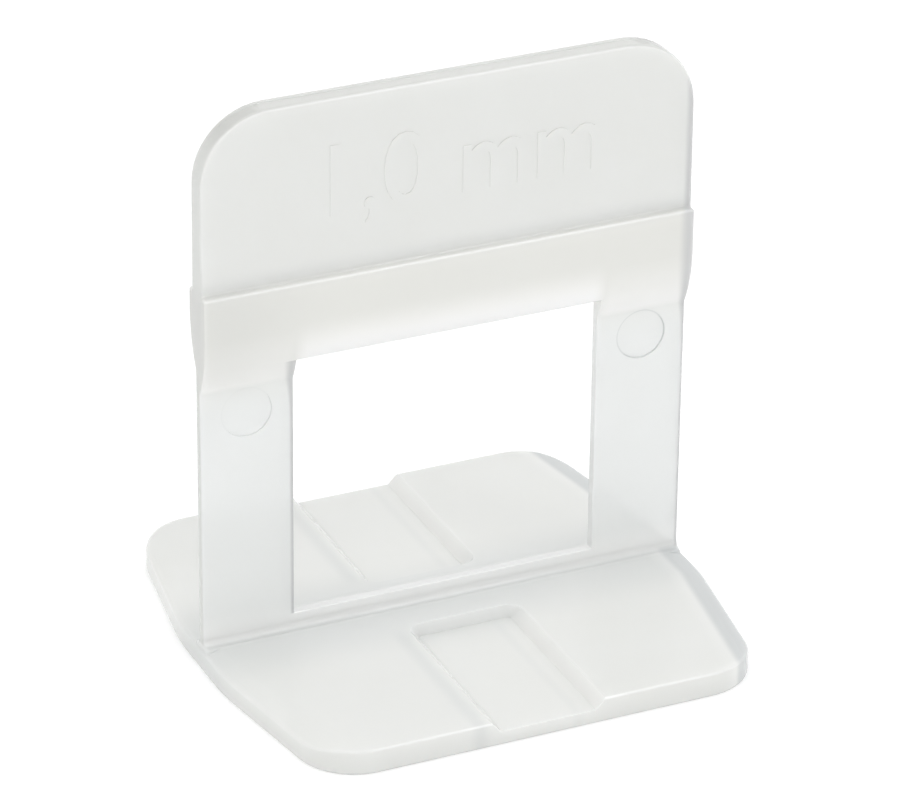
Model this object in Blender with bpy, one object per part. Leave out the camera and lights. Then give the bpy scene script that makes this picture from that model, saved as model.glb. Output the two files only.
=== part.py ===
"""Tile levelling clip, one injection moulding in natural polypropylene.

The six-sided base goes under the edges of two tiles. A thin plate stands across
its middle in the joint between them, with a window that a wedge is driven
through and a thick crossbar and grip tab above the window. Later the legs are
snapped off at the base. X runs along the joint, -Y is the front and +Z is up;
the origin is on the underside, in the middle.
"""

import math

import bmesh
import bpy
from mathutils import Vector

MM = 0.001

# Window and legs: the legs' thickness is the width of the joint
WINDOW_WIDTH = 31.3 * MM
WINDOW_HEIGHT = 27.25 * MM
LEG_WIDTH = 9.35 * MM
LEG_THICKNESS = 1.0 * MM
SILL_RISE = 1.7 * MM

# Crossbar over the window, thinned to the legs by a large arc on each face
CROSSBAR_HEIGHT = 8.05 * MM
CROSSBAR_THICKNESS = 3.75 * MM
FRONT_PLAIN_HEIGHT = 4.5 * MM
REAR_PLAIN_HEIGHT = 2.2 * MM
TAPER_RADIUS = 13.0 * MM

# Grip tab
TAB_HEIGHT = 17.7 * MM
TAB_THICKNESS = 2.3 * MM
TAB_CORNER_RADIUS = 7.0 * MM
TAB_SIDE_DRAFT = 0.1 * MM

# Base plate: widest along a short run in the middle, narrower at both ends
BASE_DEPTH = 48.0 * MM
BASE_THICKNESS = 2.5 * MM
BASE_LEDGE = 0.12 * MM
BASE_MIDDLE_RUN = 11.0 * MM
BASE_END_NARROWING = 2.9 * MM
BASE_CORNER_RADIUS = 6.0 * MM
BASE_MIDDLE_RADIUS = 25.0 * MM
CROWN_WIDTH = 2.4 * MM
CROWN_DROP = 0.45 * MM

# Shallow channel from each end of the base towards the foot
CHANNEL_FLOOR_WIDTH = 9.7 * MM
CHANNEL_WALL_RUN = 1.0 * MM
CHANNEL_DEPTH = 1.05 * MM
CHANNEL_END_RUN = 0.6 * MM
CHANNEL_CORNER_RADIUS = 0.5 * MM
FOOT_STRIP = 3.9 * MM

# Fillets, edges and the round marks of the ejector pins
FOOT_FILLET = 0.8 * MM
FOOT_FILLET_SWEEP = 75.0
FOOT_ROOT = 1.0 * MM
STEEP_ROOT_FALL = 0.05 * MM
GENTLE_ROOT_FALL = 0.3 * MM
UPRIGHT_EDGE_RADIUS = 0.3 * MM
WINDOW_EDGE_RADIUS = 0.12 * MM
BASE_EDGE_RADIUS = 0.25 * MM
PIN_MARK_DIAMETER = 5.0 * MM
PIN_MARK_DEPTH = 0.12 * MM
PIN_MARK_DROP = 4.85 * MM

# Heights and widths that follow
SILL_TOP = BASE_THICKNESS + SILL_RISE
WINDOW_TOP = SILL_TOP + WINDOW_HEIGHT
CROSSBAR_TOP = WINDOW_TOP + CROSSBAR_HEIGHT
CLIP_HEIGHT = CROSSBAR_TOP + TAB_HEIGHT
UPRIGHT_WIDTH = WINDOW_WIDTH + 2 * LEG_WIDTH
BASE_WIDTH = UPRIGHT_WIDTH + 2 * BASE_LEDGE
CHANNEL_FOOT = LEG_THICKNESS / 2 + FOOT_STRIP

# Turns in degrees from which an edge is rounded, or shaded as a sharp one
UPRIGHT_ROUNDING_TURN = 50.0
WINDOW_ROUNDING_TURN = 60.0
SHARP_SHADING_TURN = 35.0

# How finely the curves are divided, and how far helpers reach past the plastic
CORNER_STEPS = 12
SOFT_CORNER_STEPS = 4
CHANNEL_CORNER_STEPS = 6
TAPER_STEPS = 8
FILLET_STEPS = 6
CROWN_STEPS = 4
PIN_MARK_STEPS = 48
EDGE_STEPS = 3
CUT_MARGIN = 5.0 * MM
MERGE_DISTANCE = 0.001 * MM

# Natural polypropylene: milky, faintly cool, smooth
PLASTIC_COLOUR = (0.80, 0.82, 0.80, 1.0)
PLASTIC_ROUGHNESS = 0.32
PLASTIC_IOR = 1.49


def clear_scene():
    """Remove what a new file holds."""
    for item in list(bpy.data.objects):
        bpy.data.objects.remove(item)


def natural_polypropylene():
    """The clip's material."""
    material = bpy.data.materials.new("natural_polypropylene")
    material.use_nodes = True
    shader = material.node_tree.nodes["Principled BSDF"]
    shader.inputs["Base Color"].default_value = PLASTIC_COLOUR
    shader.inputs["Roughness"].default_value = PLASTIC_ROUGHNESS
    shader.inputs["Metallic"].default_value = 0.0
    shader.inputs["IOR"].default_value = PLASTIC_IOR
    return material


def add_object(name, shape):
    """Turn a bmesh into an object in the scene, with its faces pointing out."""
    bmesh.ops.recalc_face_normals(shape, faces=shape.faces)
    mesh = bpy.data.meshes.new(name)
    shape.to_mesh(mesh)
    shape.free()
    item = bpy.data.objects.new(name, mesh)
    bpy.context.scene.collection.objects.link(item)
    return item


def rounded_corner(before, corner, after, radius, steps):
    """The arc that rounds one corner of an outline, as points from before towards after."""
    before, corner, after = Vector(before), Vector(corner), Vector(after)
    arriving = (corner - before).normalized()
    leaving = (after - corner).normalized()
    turn = math.atan2(arriving.cross(leaving), arriving.dot(leaving))
    inward = Vector((-arriving.y, arriving.x)) * math.copysign(1.0, turn)
    start = corner - arriving * radius * math.tan(abs(turn) / 2)
    centre = start + inward * radius
    points = []
    for step in range(steps + 1):
        angle = abs(turn) * step / steps
        reach = arriving * math.sin(angle) - inward * math.cos(angle)
        points.append(centre + reach * radius)
    return points


def prism(name, outline, axis, low, high):
    """A solid with a flat outline, extruded along X or Y from low to high."""
    shape = bmesh.new()
    if axis == "X":
        corners = [shape.verts.new((low, u, v)) for u, v in outline]
        travel = Vector((high - low, 0, 0))
    else:
        corners = [shape.verts.new((u, low, v)) for u, v in outline]
        travel = Vector((0, high - low, 0))
    end = shape.faces.new(corners)
    grown = bmesh.ops.extrude_face_region(shape, geom=[end])
    moved = [part for part in grown["geom"] if isinstance(part, bmesh.types.BMVert)]
    bmesh.ops.translate(shape, verts=moved, vec=travel)
    return add_object(name, shape)


def add_boolean(item, other, operation):
    """Join, cut or intersect item with other, which becomes a hidden helper."""
    boolean = item.modifiers.new(operation.lower() + "_" + other.name, "BOOLEAN")
    boolean.operation = operation
    boolean.solver = "EXACT"
    boolean.object = other
    other.hide_render = True
    other.display_type = "WIRE"


def add_edge_rounding(item, radius, sharper_than):
    """Round every edge that turns by more than the given angle in degrees."""
    bevel = item.modifiers.new("edge_rounding", "BEVEL")
    bevel.width = radius
    bevel.segments = EDGE_STEPS
    bevel.limit_method = "ANGLE"
    bevel.angle_limit = math.radians(sharper_than)
    bevel.use_clamp_overlap = False


def taper_arc(side, top):
    """The crossbar's face on one side, from its plain part down to the leg, as (y, z)."""
    thinning = (CROSSBAR_THICKNESS - LEG_THICKNESS) / 2
    sweep = math.acos(1 - thinning / TAPER_RADIUS)
    points = []
    for step in range(TAPER_STEPS + 1):
        angle = sweep * step / TAPER_STEPS
        half = CROSSBAR_THICKNESS / 2 - TAPER_RADIUS * (1 - math.cos(angle))
        points.append((side * half, top - TAPER_RADIUS * math.sin(angle)))
    return points


def foot_arc(side):
    """The fillet from the leg out onto the base, as (y, z), and its root inside the base."""
    sweep = math.radians(FOOT_FILLET_SWEEP)
    centre = BASE_THICKNESS + FOOT_FILLET * math.sin(sweep)
    points = []
    for step in range(FILLET_STEPS + 1):
        angle = sweep * step / FILLET_STEPS
        half = LEG_THICKNESS / 2 + FOOT_FILLET * (1 - math.cos(angle))
        points.append((side * half, centre - FOOT_FILLET * math.sin(angle)))
    half = abs(points[-1][0])
    for angle, fall in ((sweep, STEEP_ROOT_FALL), (sweep / 2, GENTLE_ROOT_FALL)):
        half += fall * math.tan(angle)
        points.append((side * half, points[-1][1] - fall))
    points.append((side * half, BASE_THICKNESS - FOOT_ROOT))
    return points


def upright_face(side, plain_height):
    """One face of the upright's side section, from the tab's top down into the base."""
    return [
        (side * TAB_THICKNESS / 2, CLIP_HEIGHT),
        (side * TAB_THICKNESS / 2, CROSSBAR_TOP),
        (side * CROSSBAR_THICKNESS / 2, CROSSBAR_TOP),
        *taper_arc(side, CROSSBAR_TOP - plain_height),
        *foot_arc(side),
    ]


def upright_outline():
    """The upright from the front: straight legs, drafted tab sides, round top corners."""
    half = UPRIGHT_WIDTH / 2
    top_half = half - TAB_SIDE_DRAFT
    shoulders = [(-half, CROSSBAR_TOP), (half, CROSSBAR_TOP)]
    corners = [(-top_half, CLIP_HEIGHT), (top_half, CLIP_HEIGHT)]
    return [
        (-half, 0.0),
        shoulders[0],
        *rounded_corner(
            shoulders[0], corners[0], corners[1], TAB_CORNER_RADIUS, CORNER_STEPS
        ),
        *rounded_corner(
            corners[0], corners[1], shoulders[1], TAB_CORNER_RADIUS, CORNER_STEPS
        ),
        shoulders[1],
        (half, 0.0),
    ]


def cut_window(upright):
    """The opening between the legs, under the crossbar."""
    half = WINDOW_WIDTH / 2
    outline = [
        (-half, SILL_TOP),
        (half, SILL_TOP),
        (half, WINDOW_TOP),
        (-half, WINDOW_TOP),
    ]
    reach = CROSSBAR_THICKNESS / 2 + CUT_MARGIN
    add_boolean(upright, prism("window", outline, "Y", -reach, reach), "DIFFERENCE")


def cut_pin_marks(upright):
    """A shallow round mark high on the front of each leg."""
    radius = PIN_MARK_DIAMETER / 2
    height = WINDOW_TOP - PIN_MARK_DROP
    face = -LEG_THICKNESS / 2
    for side, name in ((-1, "left_pin_mark"), (1, "right_pin_mark")):
        middle = side * (WINDOW_WIDTH + LEG_WIDTH) / 2
        outline = []
        for step in range(PIN_MARK_STEPS):
            angle = 2 * math.pi * step / PIN_MARK_STEPS
            outline.append(
                (middle + radius * math.cos(angle), height + radius * math.sin(angle))
            )
        mark = prism(name, outline, "Y", face - CUT_MARGIN, face + PIN_MARK_DEPTH)
        add_boolean(upright, mark, "DIFFERENCE")


def build_upright():
    """Legs, crossbar and tab: the side section extruded, then trimmed to the front outline."""
    front = upright_face(-1, FRONT_PLAIN_HEIGHT)
    rear = upright_face(1, REAR_PLAIN_HEIGHT)
    half = UPRIGHT_WIDTH / 2 + CUT_MARGIN
    reach = CROSSBAR_THICKNESS / 2 + CUT_MARGIN
    upright = prism("upright", front + rear[::-1], "X", -half, half)
    trim = prism("front_outline", upright_outline(), "Y", -reach, reach)
    add_boolean(upright, trim, "INTERSECT")
    add_edge_rounding(upright, UPRIGHT_EDGE_RADIUS, UPRIGHT_ROUNDING_TURN)
    cut_window(upright)
    add_edge_rounding(upright, WINDOW_EDGE_RADIUS, WINDOW_ROUNDING_TURN)
    cut_pin_marks(upright)
    return upright


def base_corners():
    """The right side of the base's plan, front to rear, as (x, y) before rounding."""
    middle = BASE_WIDTH / 2
    end = middle - BASE_END_NARROWING
    run = BASE_MIDDLE_RUN / 2
    depth = BASE_DEPTH / 2
    return [(end, -depth), (middle, -run), (middle, run), (end, depth)]


def base_plan():
    """The base's rounded plan, all the way round, as (x, y)."""
    front, front_middle, rear_middle, rear = base_corners()
    front_centre = (0.0, front[1])
    rear_centre = (0.0, rear[1])
    right = [
        *rounded_corner(
            front_centre, front, front_middle, BASE_CORNER_RADIUS, CORNER_STEPS
        ),
        *rounded_corner(
            front, front_middle, rear_middle, BASE_MIDDLE_RADIUS, SOFT_CORNER_STEPS
        ),
        *rounded_corner(
            front_middle, rear_middle, rear, BASE_MIDDLE_RADIUS, SOFT_CORNER_STEPS
        ),
        *rounded_corner(
            rear_middle, rear, rear_centre, BASE_CORNER_RADIUS, CORNER_STEPS
        ),
    ]
    left = [(-x, y) for x, y in right]
    return right + left[::-1]


def side_zones():
    """Each straight stretch of the right side: its depth limits, a point, its inward normal."""
    corners = [Vector((x, y, 0)) for x, y in base_corners()]
    zones = []
    for near, far in zip(corners, corners[1:]):
        along = (far - near).normalized()
        inward = Vector((-along.y, along.x, 0))
        zones.append((near.y, far.y, near, inward))
    return zones


def crown_drop(x, y):
    """How far the top lies below its flat part at a place in the plan."""
    depth_reach = BASE_DEPTH / 2
    y = min(max(y, -depth_reach), depth_reach)
    for low, high, point, inward in side_zones():
        if low <= y <= high:
            inset = (Vector((abs(x), y, 0)) - point).dot(inward)
            over = min(max(1 - inset / CROWN_WIDTH, 0.0), 1.0)
            return CROWN_DROP * over**2
    return 0.0


def split_faces(shape, faces, place, normal):
    """Divide the given faces where the upright plane through place crosses them."""
    edges = {edge for face in faces for edge in face.edges}
    verts = {vert for face in faces for vert in face.verts}
    bmesh.ops.bisect_plane(
        shape,
        geom=[*verts, *edges, *faces],
        dist=MERGE_DISTANCE,
        plane_co=place,
        plane_no=normal,
    )


def crown_sides(shape):
    """Let the top fall away gently along both sides of the plate."""
    run = BASE_MIDDLE_RUN / 2
    for depth in (-run, run):
        split_faces(shape, shape.faces[:], Vector((0, depth, 0)), Vector((0, 1, 0)))
    for mirror in (1, -1):
        for low, high, point, inward in side_zones():
            place = Vector((mirror * point.x, point.y, 0))
            normal = Vector((mirror * inward.x, inward.y, 0))
            for step in range(CROWN_STEPS):
                inset = CROWN_WIDTH * (1 - step / CROWN_STEPS)
                faces = []
                for face in shape.faces:
                    middle = face.calc_center_median()
                    if middle.x * mirror > 0 and low < middle.y < high:
                        faces.append(face)
                split_faces(shape, faces, place + normal * inset, normal)
    for vert in shape.verts:
        if vert.co.z > BASE_THICKNESS / 2:
            vert.co.z -= crown_drop(vert.co.x, vert.co.y)
    # The crowned strips are slightly twisted, and only triangles are exactly flat for the cuts
    bmesh.ops.triangulate(shape, faces=shape.faces)


def channel_outline(side, height):
    """The channel's outline at one height, as (x, y, z): its inner corners widen upwards."""
    lean = CHANNEL_WALL_RUN / CHANNEL_DEPTH
    end_lean = CHANNEL_END_RUN / CHANNEL_DEPTH
    rise = height - (BASE_THICKNESS - CHANNEL_DEPTH)
    half = CHANNEL_FLOOR_WIDTH / 2 + rise * lean
    inner = CHANNEL_FOOT + (BASE_THICKNESS - height) * end_lean
    outer = BASE_DEPTH / 2 + CUT_MARGIN
    mouth = (-half, outer)
    corner = rounded_corner(
        mouth,
        (-half, inner),
        (half, inner),
        CHANNEL_CORNER_RADIUS + rise * lean,
        CHANNEL_CORNER_STEPS,
    )
    left = [mouth, *corner]
    right = [(-x, y) for x, y in left]
    return [(x, side * y, height) for x, y in left + right[::-1]]


def cut_channel(base, side, name):
    """A shallow channel with leaning walls, from one end of the plate to the strip by the foot."""
    shape = bmesh.new()
    rings = []
    for height in (BASE_THICKNESS - CHANNEL_DEPTH, BASE_THICKNESS + CUT_MARGIN):
        ring = [shape.verts.new(place) for place in channel_outline(side, height)]
        shape.faces.new(ring)
        rings.append(ring)
    low, high = rings
    for index in range(len(low)):
        follower = (index + 1) % len(low)
        shape.faces.new((low[index], low[follower], high[follower], high[index]))
    # The corners widen unevenly, and only triangles are exactly flat for the cut
    bmesh.ops.triangulate(shape, faces=shape.faces)
    add_boolean(base, add_object(name, shape), "DIFFERENCE")


def build_base():
    """The six-sided plate: its rounded plan extruded, its rim rounded and its sides crowned."""
    shape = bmesh.new()
    underside = shape.faces.new([shape.verts.new((x, y, 0)) for x, y in base_plan()])
    grown = bmesh.ops.extrude_face_region(shape, geom=[underside])
    moved = [part for part in grown["geom"] if isinstance(part, bmesh.types.BMVert)]
    bmesh.ops.translate(shape, verts=moved, vec=(0, 0, BASE_THICKNESS))
    bmesh.ops.recalc_face_normals(shape, faces=shape.faces)
    rim = [
        edge
        for edge in shape.edges
        if abs(edge.verts[0].co.z - edge.verts[1].co.z) < MERGE_DISTANCE
    ]
    bmesh.ops.bevel(
        shape,
        geom=rim,
        offset=BASE_EDGE_RADIUS,
        segments=EDGE_STEPS,
        profile=0.5,
        affect="EDGES",
    )
    crown_sides(shape)
    base = add_object("levelling_clip", shape)
    cut_channel(base, -1, "front_channel")
    cut_channel(base, 1, "rear_channel")
    return base


def build_clip():
    """The whole clip: the upright grown out of the base."""
    clip = build_base()
    add_boolean(clip, build_upright(), "UNION")
    clip.data.materials.append(natural_polypropylene())
    clip.data.shade_smooth()
    clip.data.set_sharp_from_angle(angle=math.radians(SHARP_SHADING_TURN))
    return clip


clear_scene()
build_clip()
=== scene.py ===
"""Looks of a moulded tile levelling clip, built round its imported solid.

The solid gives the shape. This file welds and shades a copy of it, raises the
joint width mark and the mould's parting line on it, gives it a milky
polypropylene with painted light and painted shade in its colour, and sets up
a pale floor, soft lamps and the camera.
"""

import math

import bmesh
import bpy
from bpy.props import (
    FloatProperty,
    FloatVectorProperty,
    IntProperty,
    PointerProperty,
    StringProperty,
)
from mathutils import Matrix, Vector


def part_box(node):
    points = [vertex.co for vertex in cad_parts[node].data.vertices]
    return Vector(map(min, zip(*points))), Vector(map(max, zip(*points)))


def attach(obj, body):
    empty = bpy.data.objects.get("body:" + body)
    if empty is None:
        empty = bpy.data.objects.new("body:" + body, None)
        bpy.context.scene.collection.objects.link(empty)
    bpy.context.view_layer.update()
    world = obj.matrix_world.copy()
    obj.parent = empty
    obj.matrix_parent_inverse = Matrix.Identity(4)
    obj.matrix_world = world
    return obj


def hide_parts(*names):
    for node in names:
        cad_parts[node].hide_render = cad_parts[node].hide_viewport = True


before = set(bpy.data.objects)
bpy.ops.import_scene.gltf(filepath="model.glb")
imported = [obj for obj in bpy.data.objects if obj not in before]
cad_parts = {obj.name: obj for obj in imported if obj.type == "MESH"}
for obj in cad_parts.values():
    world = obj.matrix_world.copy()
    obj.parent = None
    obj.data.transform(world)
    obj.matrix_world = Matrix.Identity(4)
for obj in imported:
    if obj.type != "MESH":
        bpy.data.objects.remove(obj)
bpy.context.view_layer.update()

bl_info = {
    "name": "Tile Levelling Clip",
    "version": (1, 0, 0),
    "blender": (4, 5, 0),
    "location": "View3D > Sidebar > Levelling Clip",
    "description": "Builds the finish of a moulded tile levelling clip, with its stage",
    "category": "Object",
}

MM = 0.001
NODE = "levelling_clip"
BODY = "root"

CLIP_LOW, CLIP_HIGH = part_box(NODE)

WELD_DISTANCE = 0.0001 * MM
SHARP_TURN = math.radians(40.0)
CORNER_STEPS = 16  # steps of the parting line's path round one corner
RIDGE_STEPS = 2  # steps of its round section
HALF_BODY = 0.5  # half the depth of the lettering's body before it is fitted
FLAT_FACES_LEAD = 100  # weight of large faces in the shading
FLOOR_SIDES = 96

# How far a face's normal turns one way where a tone starts on it, and where it is full.
SQUARE_ON = (0.5, 0.95)
SLANTING = (0.15, 0.6)
OFF_UPRIGHT = (0.2, 0.4)
UPWARD = (0.35, 0.8)
LEVEL = (0.97, 1.0)

# Detail of the noise that each unevenness is made from.
CLOUD_DETAIL = 3.0
RIPPLE_DETAIL = 1.0
GRAIN_DETAIL = 2.0

REFRACTION = 1.49  # index of polypropylene
GLOSS = 0.5  # specular level of smooth plastic
SAME_SPREAD = (1.0, 1.0, 1.0)  # red, green and blue light spread alike
WHITE = (1.0, 1.0, 1.0, 1.0)
PAPER_ROUGHNESS = 0.9
SKY_TURN = (0.1, 0.9)  # how far to the right the sky starts to dim, and is dimmest
NEAREST_SEEN = 0.01  # metres from the camera

# Lamps: name, setting of its power, size, direction from the clip, and distance.
LAMPS = (
    ("top_lamp", "top_power", 0.5, (-0.1, 0.1, 1.0), 0.7),
    ("side_lamp", "side_power", 0.5, (-1.0, -0.8, 0.5), 0.8),
    ("edge_lamp", "edge_power", 0.1, (0.37, -0.46, 0.81), 0.6),
)


class LevellingClipMoulding(bpy.types.PropertyGroup):
    """The solid's sizes that the finish follows, and the parting line's own."""

    sill_top: FloatProperty(
        name="Sill Top", description="Height of the window's sill",
        default=4.2 * MM, unit="LENGTH",
    )
    window_top: FloatProperty(
        name="Window Top", description="Height of the underside of the crossbar",
        default=31.45 * MM, unit="LENGTH",
    )
    crossbar_top: FloatProperty(
        name="Crossbar Top", description="Height of the step below the tab",
        default=39.5 * MM, unit="LENGTH",
    )
    leg_thickness: FloatProperty(
        name="Leg Thickness", description="Thickness of the legs and the sill",
        default=1.0 * MM, unit="LENGTH",
    )
    crossbar_thickness: FloatProperty(
        name="Crossbar Thickness", description="Thickness above the tapers",
        default=3.75 * MM, unit="LENGTH",
    )
    tab_thickness: FloatProperty(
        name="Tab Thickness", description="Thickness of the grip tab",
        default=2.3 * MM, unit="LENGTH",
    )
    base_thickness: FloatProperty(
        name="Base Thickness", description="Thickness of the base plate",
        default=2.5 * MM, unit="LENGTH",
    )
    tab_corner: FloatProperty(
        name="Tab Corner", description="Radius of the tab's two top corners",
        default=7.0 * MM, unit="LENGTH",
    )
    tab_half_width: FloatProperty(
        name="Tab Half Width", description="From the middle to the tab's side, at its top",
        default=24.9 * MM, unit="LENGTH",
    )
    window_half_width: FloatProperty(
        name="Window Half Width", description="From the middle to the window's side",
        default=15.65 * MM, unit="LENGTH",
    )
    upright_half_width: FloatProperty(
        name="Upright Half Width", description="From the middle to the side of a leg",
        default=25.0 * MM, unit="LENGTH",
    )
    pin_mark_x: FloatProperty(
        name="Pin Mark X", description="From the middle to a leg's ejector pin mark",
        default=20.325 * MM, unit="LENGTH",
    )
    pin_mark_z: FloatProperty(
        name="Pin Mark Z", description="Height of the ejector pin marks",
        default=26.6 * MM, unit="LENGTH",
    )
    pin_mark_radius: FloatProperty(
        name="Pin Mark Radius", description="Radius of the ejector pin marks",
        default=2.5 * MM, unit="LENGTH",
    )
    base_half_width: FloatProperty(
        name="Base Half Width", description="From the middle to the base's side, where widest",
        default=25.12 * MM, unit="LENGTH",
    )
    base_half_run: FloatProperty(
        name="Base Half Run", description="From the middle to where the base starts to narrow",
        default=5.5 * MM, unit="LENGTH",
    )
    base_narrowing: FloatProperty(
        name="Base Narrowing", description="Width lost on each side per length towards an end",
        default=0.157,
    )
    crown_width: FloatProperty(
        name="Crown Width", description="Width of the falling band along the base's sides",
        default=2.4 * MM, unit="LENGTH",
    )
    taper_run: FloatProperty(
        name="Taper Run", description="How far the crossbar thins out down the legs",
        default=6.0 * MM, unit="LENGTH",
    )
    parting_place: FloatProperty(
        name="Parting Place", description="How far behind the middle the parting line runs",
        default=0.3 * MM, unit="LENGTH",
    )
    parting_radius: FloatProperty(
        name="Parting Radius", description="Half the width of the parting line's ridge",
        default=0.09 * MM, unit="LENGTH",
    )
    parting_rise: FloatProperty(
        name="Parting Rise", description="How far the ridge stands proud of the edge",
        default=0.04 * MM, unit="LENGTH",
    )


class LevellingClipMark(bpy.types.PropertyGroup):
    """The raised joint width on the tab."""

    wording: StringProperty(
        name="Wording", description="Joint width, as plain numbers and a unit",
        default="1,0 mm",
    )
    left: FloatProperty(
        name="Left", description="Where the mark starts, from the middle",
        default=-12.2 * MM, unit="LENGTH",
    )
    width: FloatProperty(
        name="Width", description="Width of the whole mark",
        default=27.3 * MM, unit="LENGTH",
    )
    baseline: FloatProperty(
        name="Baseline", description="Height of the mark's foot",
        default=45.4 * MM, unit="LENGTH",
    )
    height: FloatProperty(
        name="Height", description="Height of the mark's digits",
        default=7.2 * MM, unit="LENGTH",
    )
    relief: FloatProperty(
        name="Relief", description="How far the mark stands out of the tab",
        default=0.09 * MM, unit="LENGTH",
    )
    sunk: FloatProperty(
        name="Sunk", description="How deep the mark's body is rooted in the tab",
        default=0.3 * MM, unit="LENGTH",
    )
    smoothness: IntProperty(
        name="Smoothness", description="Steps between two points of a letter's outline",
        default=5, min=1,
    )


class LevellingClipPlastic(bpy.types.PropertyGroup):
    """Milky natural polypropylene, and the colours of its painted light and painted shade."""

    thin_colour: FloatVectorProperty(
        name="Thin Colour", description="Colour where the plastic is thin",
        default=(0.85, 0.86, 0.855), subtype="COLOR", min=0.0, max=1.0,
    )
    thick_colour: FloatVectorProperty(
        name="Thick Colour", description="Colour where the plastic is thick",
        default=(0.785, 0.785, 0.755), subtype="COLOR", min=0.0, max=1.0,
    )
    # Painted light: the colour mixed in where light would gather in the plastic.
    painted_light_colour: FloatVectorProperty(
        name="Glow Colour", description="Colour where light gathers in the plastic",
        default=(0.96, 0.955, 0.94), subtype="COLOR", min=0.0, max=1.0,
    )
    # Painted shade: colour of the thin narrow faces that look left.
    rim_shade_colour: FloatVectorProperty(
        name="Rim Colour", description="Colour of the tab's and the legs' narrow faces",
        default=(0.73, 0.74, 0.72), subtype="COLOR", min=0.0, max=1.0,
    )
    # Painted shade: colour of the crossbar's narrow faces and of the tab's rounded top edges.
    thick_rim_shade_colour: FloatVectorProperty(
        name="Thick Rim Colour", description="Colour of the crossbar's narrow faces",
        default=(0.64, 0.645, 0.625), subtype="COLOR", min=0.0, max=1.0,
    )
    # Painted shade: colour of the dark lines along the edges that look right.
    edge_shade_colour: FloatVectorProperty(
        name="Edge Colour", description="Colour of the line along an edge away from the light",
        default=(0.58, 0.585, 0.59), subtype="COLOR", min=0.0, max=1.0,
    )
    # Painted shade: colour of the soft dark lines round the pin marks, beside the channels,
    # along the foot and at the step.
    shade_line_colour: FloatVectorProperty(
        name="Line Colour", description="Colour of the faint lines in the moulding",
        default=(0.66, 0.68, 0.68), subtype="COLOR", min=0.0, max=1.0,
    )
    # Painted shade: colour of the base's right-hand crown.
    crown_shade_colour: FloatVectorProperty(
        name="Crown Colour", description="Cool colour of the base's side away from the light",
        default=(0.66, 0.675, 0.675), subtype="COLOR", min=0.0, max=1.0,
    )
    roughness_low: FloatProperty(
        name="Smoothest", description="Roughness of the most polished spots",
        default=0.12, min=0.0, max=1.0,
    )
    roughness_high: FloatProperty(
        name="Roughest", description="Roughness of the dullest spots",
        default=0.2, min=0.0, max=1.0,
    )
    scatter_weight: FloatProperty(
        name="Milkiness", description="Share of the light that scatters inside the plastic",
        default=0.85, min=0.0, max=1.0,
    )
    scatter_distance: FloatProperty(
        name="Scatter Distance", description="How far light spreads inside the plastic",
        default=1.0 * MM, unit="LENGTH",
    )
    thin_clearness: FloatProperty(
        name="Thin Clearness", description="Share of the light that passes a thin leg",
        default=0.34, min=0.0, max=1.0,
    )
    thick_clearness: FloatProperty(
        name="Thick Clearness", description="Share of the light that passes the crossbar",
        default=0.08, min=0.0, max=1.0,
    )
    shadow_clearness: FloatProperty(
        name="Shadow Clearness", description="Share of light that each face lets into a shadow",
        default=0.85, min=0.0, max=1.0,
    )
    cloud_size: FloatProperty(
        name="Cloud Size", description="Size of the faint clouds in the plastic",
        default=9.0 * MM, unit="LENGTH",
    )
    cloud_contrast: FloatProperty(
        name="Cloud Contrast", description="How much thicker and thinner the clouds look",
        default=0.35,
    )
    cloud_middle: FloatProperty(
        name="Cloud Middle", description="Taken off again, so that the clouds even out",
        default=0.17,
    )
    grain_size: FloatProperty(
        name="Grain Size", description="Size of the fine unevenness left by the mould",
        default=0.35 * MM, unit="LENGTH",
    )
    grain_depth: FloatProperty(
        name="Grain Depth", description="Depth of the fine unevenness",
        default=0.004 * MM, unit="LENGTH",
    )
    ripple_size: FloatProperty(
        name="Ripple Size", description="Size of the shallow shrink ripples",
        default=5.0 * MM, unit="LENGTH",
    )
    ripple_depth: FloatProperty(
        name="Ripple Depth", description="Depth of the shallow shrink ripples",
        default=0.02 * MM, unit="LENGTH",
    )


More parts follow.
